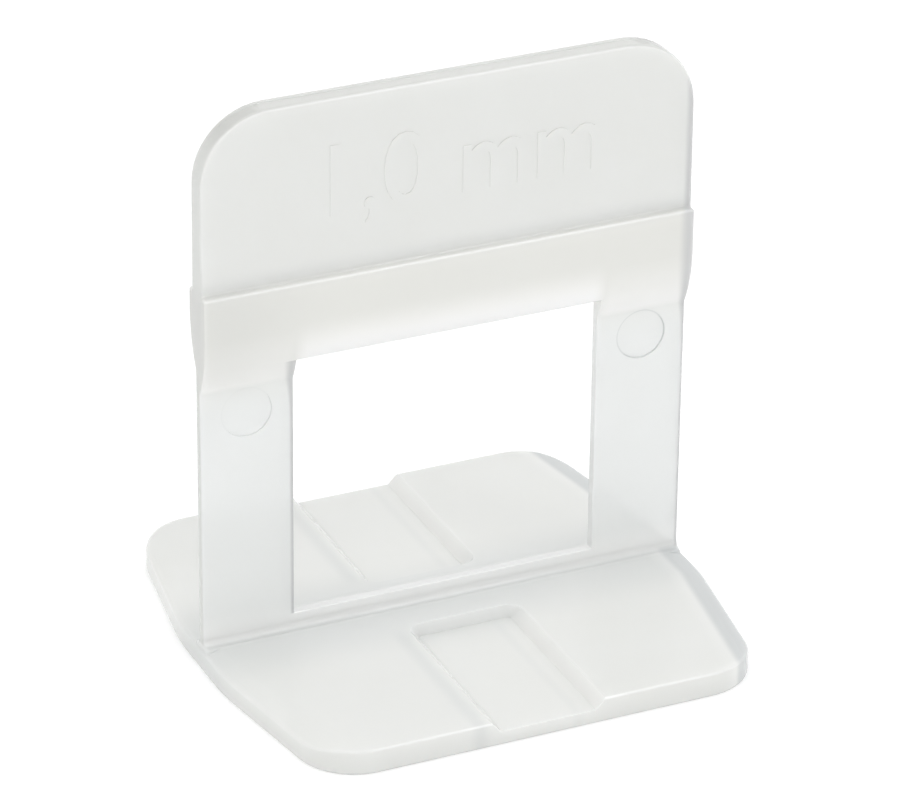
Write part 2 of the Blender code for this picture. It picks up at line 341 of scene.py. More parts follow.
class LevellingClipTones(bpy.types.PropertyGroup):
    """Light and shade painted into the plastic's colour: where each tone lies, and its
    strength.

    A zone holds where a tone starts and where it is full. A line holds its place and
    how far it reaches on both sides.
    """

    blend: FloatProperty(
        name="Blend", description="Height over which two parts' tones run together",
        default=0.4 * MM, unit="LENGTH",
    )
    glow_rise: FloatProperty(
        name="Glow Rise", description="Height of the light band over the window",
        default=4.4 * MM, unit="LENGTH",
    )
    glow_fade: FloatProperty(
        name="Glow Fade", description="How softly the light band ends beside the window",
        default=1.2 * MM, unit="LENGTH",
    )
    taper_zone: FloatVectorProperty(
        name="Taper Zone", description="Heights over the window of the tapers' light",
        default=(-4.0 * MM, -3.0 * MM), size=2, unit="LENGTH",
    )
    taper_glow: FloatProperty(
        name="Taper Glow", description="Light in the tapers, for how far they lean",
        default=2.1,
    )
    foot_glow_zone: FloatVectorProperty(
        name="Foot Glow Zone", description="Heights over the base of the light at the foot",
        default=(3.5 * MM, 1.0 * MM), size=2, unit="LENGTH",
    )
    foot_glow: FloatProperty(
        name="Foot Glow", description="Strength of the foot's light band", default=0.4,
    )
    wall_glow: FloatProperty(
        name="Wall Glow", description="Strength of the light in the channels' walls",
        default=0.4,
    )
    channel_zone: FloatVectorProperty(
        name="Channel Zone", description="From the middle to past the channels' walls",
        default=(9.0 * MM, 7.0 * MM), size=2, unit="LENGTH",
    )
    outer_zone: FloatVectorProperty(
        name="Outer Zone", description="From the middle to the upright's left side",
        default=(20.0 * MM, 23.0 * MM), size=2, unit="LENGTH",
    )
    bar_end_zone: FloatVectorProperty(
        name="Bar End Zone", description="From the middle to the crossbar's shaded left",
        default=(10.0 * MM, 26.0 * MM), size=2, unit="LENGTH",
    )
    bar_end_shade: FloatProperty(
        name="Bar End Shade", description="Strength of the shade at the crossbar's left",
        default=0.35,
    )
    top_shade: FloatProperty(
        name="Top Shade", description="Shade left on the flat of the tab's top edge",
        default=0.55,
    )
    edge_blend: FloatProperty(
        name="Edge Blend", description="How softly an inner edge's line ends",
        default=0.1 * MM, unit="LENGTH",
    )
    edge_reach: FloatProperty(
        name="Edge Reach", description="Width of an edge's line, as share of thickness",
        default=0.42,
    )
    edge_fade: FloatVectorProperty(
        name="Edge Fade", description="Shares of the reach where a line starts and is full",
        default=(1.1, 0.35), size=2,
    )
    edge_shade: FloatProperty(
        name="Edge Shade", description="Strength of the lines along edges", default=0.8,
    )
    ring_reach: FloatProperty(
        name="Ring Reach", description="Half the width of a pin mark's ring",
        default=0.14 * MM, unit="LENGTH",
    )
    ring_shades: FloatVectorProperty(
        name="Ring Shades", description="Strengths of the left and the right ring",
        default=(0.15, 0.75), size=2,
    )
    # Painted shade: soft dark lines on the base beside the channels.
    left_channel_shade: FloatVectorProperty(
        name="Left Flow", description="Soft line at the channels' left",
        default=(-6.9 * MM, 1.3 * MM), size=2, unit="LENGTH",
    )
    right_channel_shade: FloatVectorProperty(
        name="Right Flow", description="Soft line along the channels' floor, at the right",
        default=(3.1 * MM, 0.8 * MM), size=2, unit="LENGTH",
    )
    channel_shade_strengths: FloatVectorProperty(
        name="Flow Shades", description="Strengths of the left and the right soft line",
        default=(0.35, 0.15), size=2,
    )
    channel_shade_zone: FloatVectorProperty(
        name="Flow Zone", description="From the foot to where the soft lines run",
        default=(4.0 * MM, 7.0 * MM), size=2, unit="LENGTH",
    )
    strip_zone: FloatVectorProperty(
        name="Strip Zone", description="From the foot to the edge of its dark strip",
        default=(9.5 * MM, 2.0 * MM), size=2, unit="LENGTH",
    )
    strip_shade: FloatProperty(
        name="Strip Shade", description="Strength of the dark strip along the foot",
        default=0.5,
    )
    # Painted shade: soft dark lines at the step.
    under_step: FloatVectorProperty(
        name="Under Step", description="Soft line just under the step",
        default=(-0.35 * MM, 0.5 * MM), size=2, unit="LENGTH",
    )
    over_step: FloatVectorProperty(
        name="Over Step", description="Soft line just over the step",
        default=(0.9 * MM, 1.2 * MM), size=2, unit="LENGTH",
    )
    step_shade: FloatProperty(
        name="Step Shade", description="Strength of the two lines at the step", default=0.12,
    )
    fillet_rise: FloatVectorProperty(
        name="Fillet Rise", description="Heights over the base where the fillet ends",
        default=(0.7 * MM, 0.35 * MM), size=2, unit="LENGTH",
    )
    fillet_zone: FloatVectorProperty(
        name="Fillet Zone", description="From the middle to the outside of the foot's fillet",
        default=(1.6 * MM, 1.3 * MM), size=2, unit="LENGTH",
    )
    fillet_dulling: FloatProperty(
        name="Fillet Dulling", description="Gloss that the foot's fillet loses", default=0.35,
    )
    crown_glow_fade: FloatVectorProperty(
        name="Crown Glow Fade", description="Shares of the crown's width of its inner light",
        default=(1.7, 1.0), size=2,
    )
    crown_glow: FloatProperty(
        name="Crown Glow", description="Strength of the light inside the crown", default=0.2,
    )
    crown_fade: FloatVectorProperty(
        name="Crown Fade", description="Shares of the crown's width where its colour lies",
        default=(1.1, 0.75), size=2,
    )


class LevellingClipStage(bpy.types.PropertyGroup):
    """Floor, light and camera."""

    floor_radius: FloatProperty(
        name="Floor Radius", description="Radius of the round floor",
        default=4.0, unit="LENGTH",
    )
    floor_gap: FloatProperty(
        name="Floor Gap", description="How far the floor lies below the clip",
        default=0.02 * MM, unit="LENGTH",
    )
    floor_colour: FloatProperty(
        name="Floor Tone", description="Grey tone of the floor",
        default=0.9, min=0.0, max=1.0,
    )
    floor_glow: FloatProperty(
        name="Floor Glow", description="White that the floor adds for what looks at it",
        default=0.12, min=0.0, max=1.0,
    )
    sky_left: FloatVectorProperty(
        name="Left Sky", description="Colour of the even light from the left",
        default=(0.965, 0.965, 0.965), subtype="COLOR", min=0.0, max=1.0,
    )
    sky_right: FloatVectorProperty(
        name="Right Sky", description="Colour of the dimmer light from the right",
        default=(0.89, 0.905, 0.92), subtype="COLOR", min=0.0, max=1.0,
    )
    top_power: FloatProperty(
        name="Top Lamp Power", description="Power of the soft lamp above",
        default=0.35, unit="POWER",
    )
    side_power: FloatProperty(
        name="Side Lamp Power", description="Power of the soft lamp at the left",
        default=0.2, unit="POWER",
    )
    edge_power: FloatProperty(
        name="Edge Lamp Power", description="Power of the small lamp that lights the edges",
        default=0.55, unit="POWER",
    )
    camera_azimuth: FloatProperty(
        name="Camera Azimuth", description="Turn of the view to the clip's left",
        default=math.radians(24.692), subtype="ANGLE",
    )
    camera_elevation: FloatProperty(
        name="Camera Elevation", description="Height of the view over the horizon",
        default=math.radians(27.453), subtype="ANGLE",
    )
    camera_roll: FloatProperty(
        name="Camera Roll", description="Turn of the view about its own axis",
        default=math.radians(0.63), subtype="ANGLE",
    )
    camera_distance: FloatProperty(
        name="Camera Distance", description="From the camera to the point it looks at",
        default=485.414 * MM, unit="LENGTH",
    )
    camera_target: FloatVectorProperty(
        name="Camera Target", description="Point that the camera looks at",
        default=(0.595 * MM, 0.0, 23.328 * MM), subtype="XYZ", unit="LENGTH",
    )
    camera_lens: FloatProperty(
        name="Camera Lens", description="Focal length in millimetres on a 36 mm sensor",
        default=205.66, unit="CAMERA",
    )


def wire(tree, source, target):
    """Link one socket to another."""
    tree.links.new(source, target)


def add_node(tree, kind, **settings):
    """A shader node with some of its plain settings."""
    node = tree.nodes.new(kind)
    for name, value in settings.items():
        setattr(node, name, value)
    return node


def add_math(tree, operation, first, second):
    """A clamped maths node on two sockets or numbers, giving its output socket."""
    node = add_node(tree, "ShaderNodeMath", operation=operation, use_clamp=True)
    for index, value in enumerate((first, second)):
        if isinstance(value, (int, float)):
            node.inputs[index].default_value = value
        else:
            wire(tree, value, node.inputs[index])
    return node.outputs["Value"]


def add_product(tree, *factors):
    """The product of several sockets or numbers."""
    result = factors[0]
    for factor in factors[1:]:
        result = add_math(tree, "MULTIPLY", result, factor)
    return result


def free_math(tree, operation, *values):
    """An unclamped maths node on up to three sockets or numbers."""
    node = add_node(tree, "ShaderNodeMath", operation=operation)
    for index, value in enumerate(values):
        if isinstance(value, (int, float)):
            node.inputs[index].default_value = value
        else:
            wire(tree, value, node.inputs[index])
    return node.outputs["Value"]


def add_split(tree, vector):
    """The X, Y and Z of a vector."""
    split = add_node(tree, "ShaderNodeSeparateXYZ")
    wire(tree, vector, split.inputs["Vector"])
    return split.outputs["X"], split.outputs["Y"], split.outputs["Z"]


def add_band(tree, coordinate, start, end):
    """A smooth rise from 0 to 1 as a coordinate goes from start to end."""
    node = add_node(tree, "ShaderNodeMapRange", interpolation_type="SMOOTHSTEP")
    wire(tree, coordinate, node.inputs["Value"])
    node.inputs["From Min"].default_value = start
    node.inputs["From Max"].default_value = end
    return node.outputs["Result"]


def add_noise(tree, place, size, detail):
    """Noise with features of about the given size, in metres."""
    node = add_node(tree, "ShaderNodeTexNoise")
    wire(tree, place, node.inputs["Vector"])
    node.inputs["Scale"].default_value = 1.0 / size
    node.inputs["Detail"].default_value = detail
    return node.outputs["Fac"]


def add_bump(tree, height, depth, strength, before=None):
    """A bump of the given depth and strength, on top of an earlier one."""
    node = add_node(tree, "ShaderNodeBump")
    node.inputs["Distance"].default_value = depth
    wire(tree, strength, node.inputs["Strength"])
    wire(tree, height, node.inputs["Height"])
    if before is not None:
        wire(tree, before, node.inputs["Normal"])
    return node.outputs["Normal"]


def add_mix(tree, share, first, second):
    """Mix two colours by a share, giving the colour socket."""
    node = add_node(tree, "ShaderNodeMix", data_type="RGBA")
    wire(tree, share, node.inputs["Factor"])
    for name, value in (("A", first), ("B", second)):
        socket = next(s for s in node.inputs if s.name == name and s.type == "RGBA")
        if isinstance(value, bpy.types.NodeSocket):
            wire(tree, value, socket)
        else:
            socket.default_value = (*value, 1.0)
    return next(s for s in node.outputs if s.type == "RGBA")


def add_hump(tree, coordinate, centre, reach):
    """A soft hump of 1 at the centre, gone at the reach on both sides."""
    away = free_math(tree, "ABSOLUTE", free_math(tree, "SUBTRACT", coordinate, centre))
    return add_band(tree, away, reach, 0.0)


class Spot:
    """A point of the moulding's surface: sockets for its place and facing."""

    def __init__(self, tree, moulding, tones):
        coordinates = add_node(tree, "ShaderNodeTexCoord")
        self.tree = tree
        self.moulding = moulding
        self.tones = tones
        self.place = coordinates.outputs["Object"]
        self.x, self.y, self.z = add_split(tree, self.place)
        facing = coordinates.outputs["Normal"]
        self.facing_x, self.facing_y, self.facing_z = add_split(tree, facing)
        self.left = free_math(tree, "MULTIPLY", self.x, -1.0)
        self.size_x = free_math(tree, "ABSOLUTE", self.x)
        self.size_y = free_math(tree, "ABSOLUTE", self.y)
        window, step, base = (
            moulding.window_top,
            moulding.crossbar_top,
            moulding.base_thickness,
        )
        taper, blend = moulding.taper_run, tones.blend
        above_legs = self.rising(window - taper, window + taper / 2)
        self.below_step = self.rising(step + blend, step - blend)
        self.bar = add_product(tree, above_legs, self.below_step)
        self.above_step = self.rising(step - blend, step + blend)
        self.above_base = self.rising(base, base + blend)
        self.in_base = self.rising(base + blend, base)
        self.over_base = free_math(tree, "SUBTRACT", self.z, base)
        self.over_window = free_math(tree, "SUBTRACT", self.z, window)
        self.over_step = free_math(tree, "SUBTRACT", self.z, step)

    def rising(self, start, end):
        """A smooth rise from 0 to 1 between two heights."""
        return add_band(self.tree, self.z, start, end)

    def turned(self, facing, limits, way=1.0):
        """A smooth rise from 0 to 1 as a face turns one way past two limits."""
        start, full = limits
        return add_band(self.tree, facing, way * start, way * full)


def thickness(spot):
    """How thick the plastic is at a spot, in metres."""
    tree, moulding = spot.tree, spot.moulding
    leg = moulding.leg_thickness
    total = leg
    for share, thick in (
        (spot.bar, moulding.crossbar_thickness),
        (spot.above_step, moulding.tab_thickness),
        (spot.in_base, moulding.base_thickness),
    ):
        total = free_math(tree, "MULTIPLY_ADD", share, thick - leg, total)
    return total


def thick_share(spot, depth):
    """0 in the thin legs, 1 in the thick crossbar, and about half in the tab and base."""
    tree, moulding = spot.tree, spot.moulding
    leg = moulding.leg_thickness
    extra = free_math(tree, "SUBTRACT", depth, leg)
    return add_math(tree, "DIVIDE", extra, moulding.crossbar_thickness - leg)


def painted_glow_share(spot):
    """Painted light where light would gather: over the window, and down the crossbar's tapers
    to the legs.
    """
    tree, tones = spot.tree, spot.tones
    window, half = spot.moulding.window_top, spot.moulding.window_half_width
    fade = tones.glow_fade
    low = spot.rising(window + tones.glow_rise, window)
    above = spot.rising(window - fade / 4, window)
    inside = add_band(tree, spot.size_x, half + fade, half - fade)
    over_window = add_product(tree, low, above, inside)
    leaning = add_math(tree, "MULTIPLY", spot.facing_z, -tones.taper_glow)
    high = add_band(tree, spot.over_window, *tones.taper_zone)
    outside = add_math(tree, "SUBTRACT", 1.0, inside)
    tapers = add_product(tree, leaning, high, spot.below_step, outside)
    return add_math(tree, "MAXIMUM", over_window, tapers)


def rim_shade_share(spot):
    """Painted shade: 1 on the outer narrow faces that look left, fading in at the crossbar's
    end.
    """
    tree, tones = spot.tree, spot.tones
    leftwards = spot.turned(spot.facing_x, SQUARE_ON, -1.0)
    outer = add_band(tree, spot.left, *tones.outer_zone)
    side = add_product(tree, leftwards, outer, spot.above_base)
    bar_end = add_band(tree, spot.left, *tones.bar_end_zone)
    bar_end = add_product(tree, bar_end, spot.bar, tones.bar_end_shade)
    return add_math(tree, "MAXIMUM", side, bar_end)


def top_edge_shade_share(spot):
    """Painted shade: 1 on the rounded edges of the tab's top, and less on the flat between
    them.
    """
    tree = spot.tree
    upwards = spot.turned(spot.facing_z, UPWARD)
    flat = spot.turned(spot.facing_z, LEVEL)
    curved = free_math(tree, "MULTIPLY_ADD", flat, spot.tones.top_shade - 1.0, 1.0)
    return add_product(tree, upwards, curved, spot.above_step)


def edge_shade_share(spot, depth):
    """Painted shade: 1 on the dark lines along the edges that look right, away from the light,
    wider where the plastic is thick.
    """
    tree, moulding, tones = spot.tree, spot.moulding, spot.tones
    blend = tones.edge_blend
    reach = free_math(tree, "MULTIPLY", depth, tones.edge_reach)
    outer = free_math(tree, "SUBTRACT", moulding.upright_half_width, spot.x)
    outer_line = near_share(spot, outer, reach)
    inner = free_math(tree, "SUBTRACT", spot.left, moulding.window_half_width)
    beside = add_band(tree, inner, -blend / 2, 0.0)
    below_bar = spot.rising(moulding.window_top + blend, moulding.window_top)
    above_sill = spot.rising(moulding.sill_top - blend, moulding.sill_top)
    inner_line = add_product(
        tree, near_share(spot, inner, reach), beside, below_bar, above_sill
    )
    lines = add_math(tree, "MAXIMUM", outer_line, inner_line)
    return add_product(tree, lines, spot.above_base, tones.edge_shade)


def near_share(spot, distance, reach):
    """1 close to an edge, and 0 from about the reach on."""
    ratio = free_math(spot.tree, "DIVIDE", distance, reach)
    return add_band(spot.tree, ratio, *spot.tones.edge_fade)


def base_inset(spot):
    """How far in from the base's right side a spot lies."""
    tree, moulding = spot.tree, spot.moulding
    past_run = free_math(tree, "SUBTRACT", spot.size_y, moulding.base_half_run)
    past_run = free_math(tree, "MAXIMUM", past_run, 0.0)
    narrowed = free_math(tree, "MULTIPLY", past_run, moulding.base_narrowing)
    side = free_math(tree, "SUBTRACT", moulding.base_half_width, narrowed)
    return free_math(tree, "SUBTRACT", side, spot.x)


def pin_share(spot):
    """Painted shade in rings round the legs' ejector pin marks, fainter at the left."""
    tree, moulding, tones = spot.tree, spot.moulding, spot.tones
    up = free_math(tree, "SUBTRACT", spot.z, moulding.pin_mark_z)
    away = free_math(tree, "SUBTRACT", spot.size_x, moulding.pin_mark_x)
    up_squared = free_math(tree, "MULTIPLY", up, up)
    squares = free_math(tree, "MULTIPLY_ADD", away, away, up_squared)
    radius = free_math(tree, "SQRT", squares)
    ring = add_hump(tree, radius, moulding.pin_mark_radius, tones.ring_reach)
    half = moulding.window_half_width
    on_right = add_band(tree, spot.x, -half, half)
    left, right = tones.ring_shades
    shade = free_math(tree, "MULTIPLY_ADD", on_right, right - left, left)
    return add_product(tree, ring, shade, spot.above_base)


def channel_shade_share(spot):
    """Painted shade: the soft dark lines along the base, beside its channels."""
    tree, tones = spot.tree, spot.tones
    left, right = tones.channel_shade_strengths
    flow = free_math(tree, "MULTIPLY", add_hump(tree, spot.x, *tones.left_channel_shade), left)
    right_channel_shade = add_hump(tree, spot.x, *tones.right_channel_shade)
    flow = free_math(tree, "MULTIPLY_ADD", right_channel_shade, right, flow)
    along = add_band(tree, spot.size_y, *tones.channel_shade_zone)
    return add_product(tree, flow, spot.in_base, along)


def step_share(spot):
    """Painted shade: the soft dark lines just under the step and over it."""
    tree, tones = spot.tree, spot.tones
    under = add_hump(tree, spot.over_step, *tones.under_step)
    over = add_hump(tree, spot.over_step, *tones.over_step)
    over = add_product(tree, over, spot.above_step)
    both = add_math(tree, "MAXIMUM", under, over)
    return add_product(tree, both, tones.step_shade)


def shade_line_share(spot):
    """All painted shade lines: round the pin marks, beside the channels, along the foot and at
    the step.
    """
    tree, tones = spot.tree, spot.tones
    # Painted shade: a dark strip along the upright's foot.
    strip = add_band(tree, spot.size_y, *tones.strip_zone)
    strip = add_product(tree, strip, spot.in_base, tones.strip_shade)
    lines = pin_share(spot)
    for line in (channel_shade_share(spot), strip, step_share(spot)):
        lines = add_math(tree, "ADD", lines, line)
    return lines


def wall_share(spot):
    """1 on the channels' walls that look left, right or forward, and 0 elsewhere."""
    tree = spot.tree
    sideways = spot.turned(free_math(tree, "ABSOLUTE", spot.facing_x), SLANTING)
    forwards = spot.turned(spot.facing_y, SLANTING, -1.0)
    sloping = spot.turned(spot.facing_z, OFF_UPRIGHT)
    near = add_band(tree, spot.size_x, *spot.tones.channel_zone)
    walls = add_math(tree, "MAXIMUM", sideways, forwards)
    return add_product(tree, walls, sloping, near, spot.in_base)


def fillet_share(spot):
    """1 in the small fillet along the upright's foot, and 0 elsewhere."""
    tree, tones = spot.tree, spot.tones
    top = spot.moulding.base_thickness
    low = add_band(tree, spot.over_base, *tones.fillet_rise)
    high = spot.rising(top - tones.blend / 2, top)
    beside = add_band(tree, spot.size_y, *tones.fillet_zone)
    return add_product(tree, low, high, beside)


def milky_colour(spot, depth, clouds, plastic):
    """The plastic's colour by thickness, with painted light over the window, at the foot and in
    the channels, and painted shade round the edges and along soft lines.
    """
    tree, tones = spot.tree, spot.tones
    clouded = free_math(
        tree, "MULTIPLY_ADD", clouds, plastic.cloud_contrast, -plastic.cloud_middle
    )
    share = add_math(tree, "ADD", thick_share(spot, depth), clouded)
    colour = add_mix(tree, share, plastic.thin_colour, plastic.thick_colour)
    # Painted light: a band at the foot, light in the channels' walls, and light over the window
    # and down the tapers.
    foot = add_band(tree, spot.over_base, *tones.foot_glow_zone)
    foot = add_product(tree, foot, spot.above_base, tones.foot_glow)
    walls = add_product(tree, wall_share(spot), tones.wall_glow)
    for glow in (painted_glow_share(spot), foot, walls):
        colour = add_mix(tree, glow, colour, plastic.painted_light_colour)
    # Painted shade: soft dark lines round the pin marks, beside the channels, along the foot
    # and at the step.
    colour = add_mix(tree, shade_line_share(spot), colour, plastic.shade_line_colour)
    # Painted shade on the narrow faces that look left, and at the crossbar's left end.
    rim = add_mix(tree, spot.bar, plastic.rim_shade_colour, plastic.thick_rim_shade_colour)
    colour = add_mix(tree, rim_shade_share(spot), colour, rim)
    # Painted shade on the tab's rounded top edges.
    colour = add_mix(tree, top_edge_shade_share(spot), colour, plastic.thick_rim_shade_colour)
    # Painted shade: dark lines along the edges that look right.
    colour = add_mix(tree, edge_shade_share(spot, depth), colour, plastic.edge_shade_colour)
    # Painted light just inside the base's right-hand crown, and painted shade on the crown
    # itself.
    inset = free_math(tree, "DIVIDE", base_inset(spot), spot.moulding.crown_width)
    bright = add_band(tree, inset, *tones.crown_glow_fade)
    bright = add_product(tree, bright, spot.in_base, tones.crown_glow)
    colour = add_mix(tree, bright, colour, plastic.painted_light_colour)
    falling = add_band(tree, inset, *tones.crown_fade)
    crown = add_product(tree, falling, spot.in_base)
    return add_mix(tree, crown, colour, plastic.crown_shade_colour)


def milky_polypropylene(plastic, moulding, tones):
    """Natural polypropylene: milky, cool and clearer where thin, warmer where thick."""
    material = bpy.data.materials.new("milky_polypropylene")
    material.use_nodes = True
    tree = material.node_tree
    shader = tree.nodes["Principled BSDF"]
    spot = Spot(tree, moulding, tones)
    depth = thickness(spot)
    clouds = add_noise(tree, spot.place, plastic.cloud_size, CLOUD_DETAIL)
    colour = milky_colour(spot, depth, clouds, plastic)
    wire(tree, colour, shader.inputs["Base Color"])

    polish = add_node(tree, "ShaderNodeMapRange")
    wire(tree, clouds, polish.inputs["Value"])
    polish.inputs["To Min"].default_value = plastic.roughness_low
    polish.inputs["To Max"].default_value = plastic.roughness_high
    wire(tree, polish.outputs["Result"], shader.inputs["Roughness"])

    gloss = free_math(
        tree, "MULTIPLY_ADD", fillet_share(spot), -tones.fillet_dulling, GLOSS
    )
    wire(tree, gloss, shader.inputs["Specular IOR Level"])

    clearness = add_node(tree, "ShaderNodeMapRange")
    wire(tree, depth, clearness.inputs["Value"])
    clearness.inputs["From Min"].default_value = moulding.leg_thickness
    clearness.inputs["From Max"].default_value = moulding.crossbar_thickness
    clearness.inputs["To Min"].default_value = plastic.thin_clearness
    clearness.inputs["To Max"].default_value = plastic.thick_clearness
    wire(tree, clearness.outputs["Result"], shader.inputs["Transmission Weight"])

    even = add_math(tree, "SUBTRACT", 1.0, wall_share(spot))
    ripples = add_noise(tree, spot.place, plastic.ripple_size, RIPPLE_DETAIL)
    rippled = add_bump(tree, ripples, plastic.ripple_depth, even)
    grain = add_noise(tree, spot.place, plastic.grain_size, GRAIN_DETAIL)
    grained = add_bump(tree, grain, plastic.grain_depth, even, rippled)
    wire(tree, grained, shader.inputs["Normal"])

    shader.subsurface_method = "RANDOM_WALK"
    shader.inputs["Subsurface Weight"].default_value = plastic.scatter_weight
    shader.inputs["Subsurface Radius"].default_value = SAME_SPREAD
    shader.inputs["Subsurface Scale"].default_value = plastic.scatter_distance
    shader.inputs["IOR"].default_value = REFRACTION
    let_light_by(tree, shader, plastic.shadow_clearness)
    return material


def let_light_by(tree, shader, share):
    """Let a share of the light that would fall in the plastic's shadow pass through it."""
    mix = add_node(tree, "ShaderNodeMixShader")
    path = add_node(tree, "ShaderNodeLightPath")
    passing = add_math(tree, "MULTIPLY", path.outputs["Is Shadow Ray"], share)
    wire(tree, passing, mix.inputs["Fac"])
    wire(tree, shader.outputs["BSDF"], mix.inputs[1])
    clear = add_node(tree, "ShaderNodeBsdfTransparent")
    wire(tree, clear.outputs["BSDF"], mix.inputs[2])
    wire(tree, mix.outputs["Shader"], tree.nodes["Material Output"].inputs["Surface"])


def welded_copy(name):
    """A closed mesh with the shape of a CAD node, its shared corners welded together."""
    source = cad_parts[name].data
    shape = bmesh.new()
    places = [vertex.co for vertex in source.vertices]
    corners = [shape.verts.new(place) for place in places]
    for polygon in source.polygons:
        shape.faces.new([corners[index] for index in polygon.vertices])
    bmesh.ops.remove_doubles(shape, verts=shape.verts, dist=WELD_DISTANCE)
    return shape


def add_mesh(name, shape):
    """Put a bmesh in the scene as an object."""
    bmesh.ops.recalc_face_normals(shape, faces=shape.faces)
    mesh = bpy.data.meshes.new(name)
    shape.to_mesh(mesh)
    shape.free()
    item = bpy.data.objects.new(name, mesh)
    bpy.context.scene.collection.objects.link(item)
    return item


def evaluated_mesh(item):
    """The mesh of an object as its modifiers or its curve make it."""
    bpy.context.view_layer.update()
    shown = item.evaluated_get(bpy.context.evaluated_depsgraph_get())
    return bpy.data.meshes.new_from_object(shown)


def join_into(body, addition):
    """Make the addition one closed skin with the body, and remove it."""
    joint = body.modifiers.new("join", "BOOLEAN")
    joint.operation = "UNION"
    joint.solver = "EXACT"
    joint.object = addition
    joined = evaluated_mesh(body)
    body.modifiers.remove(joint)
    old = body.data
    body.data = joined
    bpy.data.meshes.remove(old)
    bpy.data.objects.remove(addition)


def the_moulding():
    """The clip's shown piece, which the other operators add to."""
    item = bpy.data.objects.get("clip_moulding")
    if item is None:
        raise RuntimeError("Build the moulding first")
    return item


def tab_edge_path(moulding):
    """The tab's edge from its left shoulder over the top to its right one, as (x, z)."""
    half = moulding.tab_half_width
    top = CLIP_HIGH.z
    radius = moulding.tab_corner
    middle = Vector((half - radius, top - radius))
    right = [(half, moulding.crossbar_top + radius / 4)]
    for step in range(CORNER_STEPS + 1):
        angle = math.pi / 2 * step / CORNER_STEPS
        right.append(
            (middle.x + radius * math.cos(angle), middle.y + radius * math.sin(angle))
        )
    left = [(-x, z) for x, z in reversed(right)]
    return right + left


class LEVELLINGCLIP_OT_moulding(bpy.types.Operator):
    """Build the clip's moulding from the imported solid"""

    bl_idname = "levellingclip.moulding"
    bl_label = "Moulding"

    def execute(self, context):
        scene = context.scene
        item = add_mesh("clip_moulding", welded_copy(NODE))
        plastic = milky_polypropylene(
            scene.levelling_clip_plastic,
            scene.levelling_clip_moulding,
            scene.levelling_clip_tones,
        )
        item.data.materials.append(plastic)
        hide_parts(NODE)
        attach(item, BODY)
        return {"FINISHED"}


class LEVELLINGCLIP_OT_parting_line(bpy.types.Operator):
    """Raise the mould's parting line round the edge of the tab"""

    bl_idname = "levellingclip.parting_line"
    bl_label = "Parting Line"

    def execute(self, context):
        moulding = context.scene.levelling_clip_moulding
        curve = bpy.data.curves.new("parting_line", "CURVE")
        curve.dimensions = "3D"
        curve.bevel_depth = moulding.parting_radius
        curve.bevel_resolution = RIDGE_STEPS
        curve.use_fill_caps = True
        path = tab_edge_path(moulding)
        spline = curve.splines.new("POLY")
        spline.points.add(len(path) - 1)
        inset = moulding.parting_radius - moulding.parting_rise
        scale_x = 1 - inset / moulding.tab_half_width
        corners_start = CLIP_HIGH.z - moulding.tab_corner
        for point, (x, z) in zip(spline.points, path):
            lowered = z if z < corners_start else z - inset
            point.co = (x * scale_x, moulding.parting_place, lowered, 1.0)
        line = bpy.data.objects.new("parting_line", curve)
        context.scene.collection.objects.link(line)
        mesh = evaluated_mesh(line)
        bpy.data.objects.remove(line)
        ridge = bpy.data.objects.new("parting_ridge", mesh)
        context.scene.collection.objects.link(ridge)
        join_into(the_moulding(), ridge)
        return {"FINISHED"}


class LEVELLINGCLIP_OT_width_mark(bpy.types.Operator):
    """Raise the joint width on the front of the tab"""

    bl_idname = "levellingclip.width_mark"
    bl_label = "Width Mark"

    def execute(self, context):
        mark = context.scene.levelling_clip_mark
        moulding = context.scene.levelling_clip_moulding
        words = bpy.data.curves.new("width_mark", "FONT")
        words.body = mark.wording
        words.extrude = HALF_BODY
        words.resolution_u = mark.smoothness
        letters = bpy.data.objects.new("width_mark", words)
        context.scene.collection.objects.link(letters)
        mesh = evaluated_mesh(letters)
        bpy.data.objects.remove(letters)
        low_x = min(vertex.co.x for vertex in mesh.vertices)
        high_x = max(vertex.co.x for vertex in mesh.vertices)
        high_y = max(vertex.co.y for vertex in mesh.vertices)
        face = -moulding.tab_thickness / 2
        depth = mark.relief + mark.sunk
        for vertex in mesh.vertices:
            along = (vertex.co.x - low_x) / (high_x - low_x)
            x = mark.left + mark.width * along
            y = face - mark.relief + depth * (HALF_BODY - vertex.co.z)
            z = mark.baseline + mark.height * vertex.co.y / high_y
            vertex.co = (x, y, z)
        shape = bmesh.new()
        shape.from_mesh(mesh)
        bmesh.ops.remove_doubles(shape, verts=shape.verts, dist=WELD_DISTANCE)
        join_into(the_moulding(), add_mesh("width_letters", shape))
        return {"FINISHED"}


class LEVELLINGCLIP_OT_shading(bpy.types.Operator):
    """Shade the finished moulding: flat faces flat, rounded edges round"""

    bl_idname = "levellingclip.shading"
    bl_label = "Shading"

    def execute(self, context):
        item = the_moulding()
        shape = bmesh.new()
        shape.from_mesh(item.data)
        bmesh.ops.dissolve_degenerate(shape, edges=shape.edges, dist=WELD_DISTANCE)
        shape.to_mesh(item.data)
        shape.free()
        item.data.shade_smooth()
        item.data.set_sharp_from_angle(angle=SHARP_TURN)
        weighted = item.modifiers.new("flat_faces", "WEIGHTED_NORMAL")
        weighted.keep_sharp = True
        weighted.weight = FLAT_FACES_LEAD
        return {"FINISHED"}


def white_for_eyes(tree):
    """1 for what is seen, mirrored or seen through, and 0 for what only lights."""
    path = add_node(tree, "ShaderNodeLightPath")
    seen = add_math(
        tree, "MAXIMUM", path.outputs["Is Camera Ray"], path.outputs["Is Glossy Ray"]
    )
    return add_math(tree, "MAXIMUM", seen, path.outputs["Is Transmission Ray"])


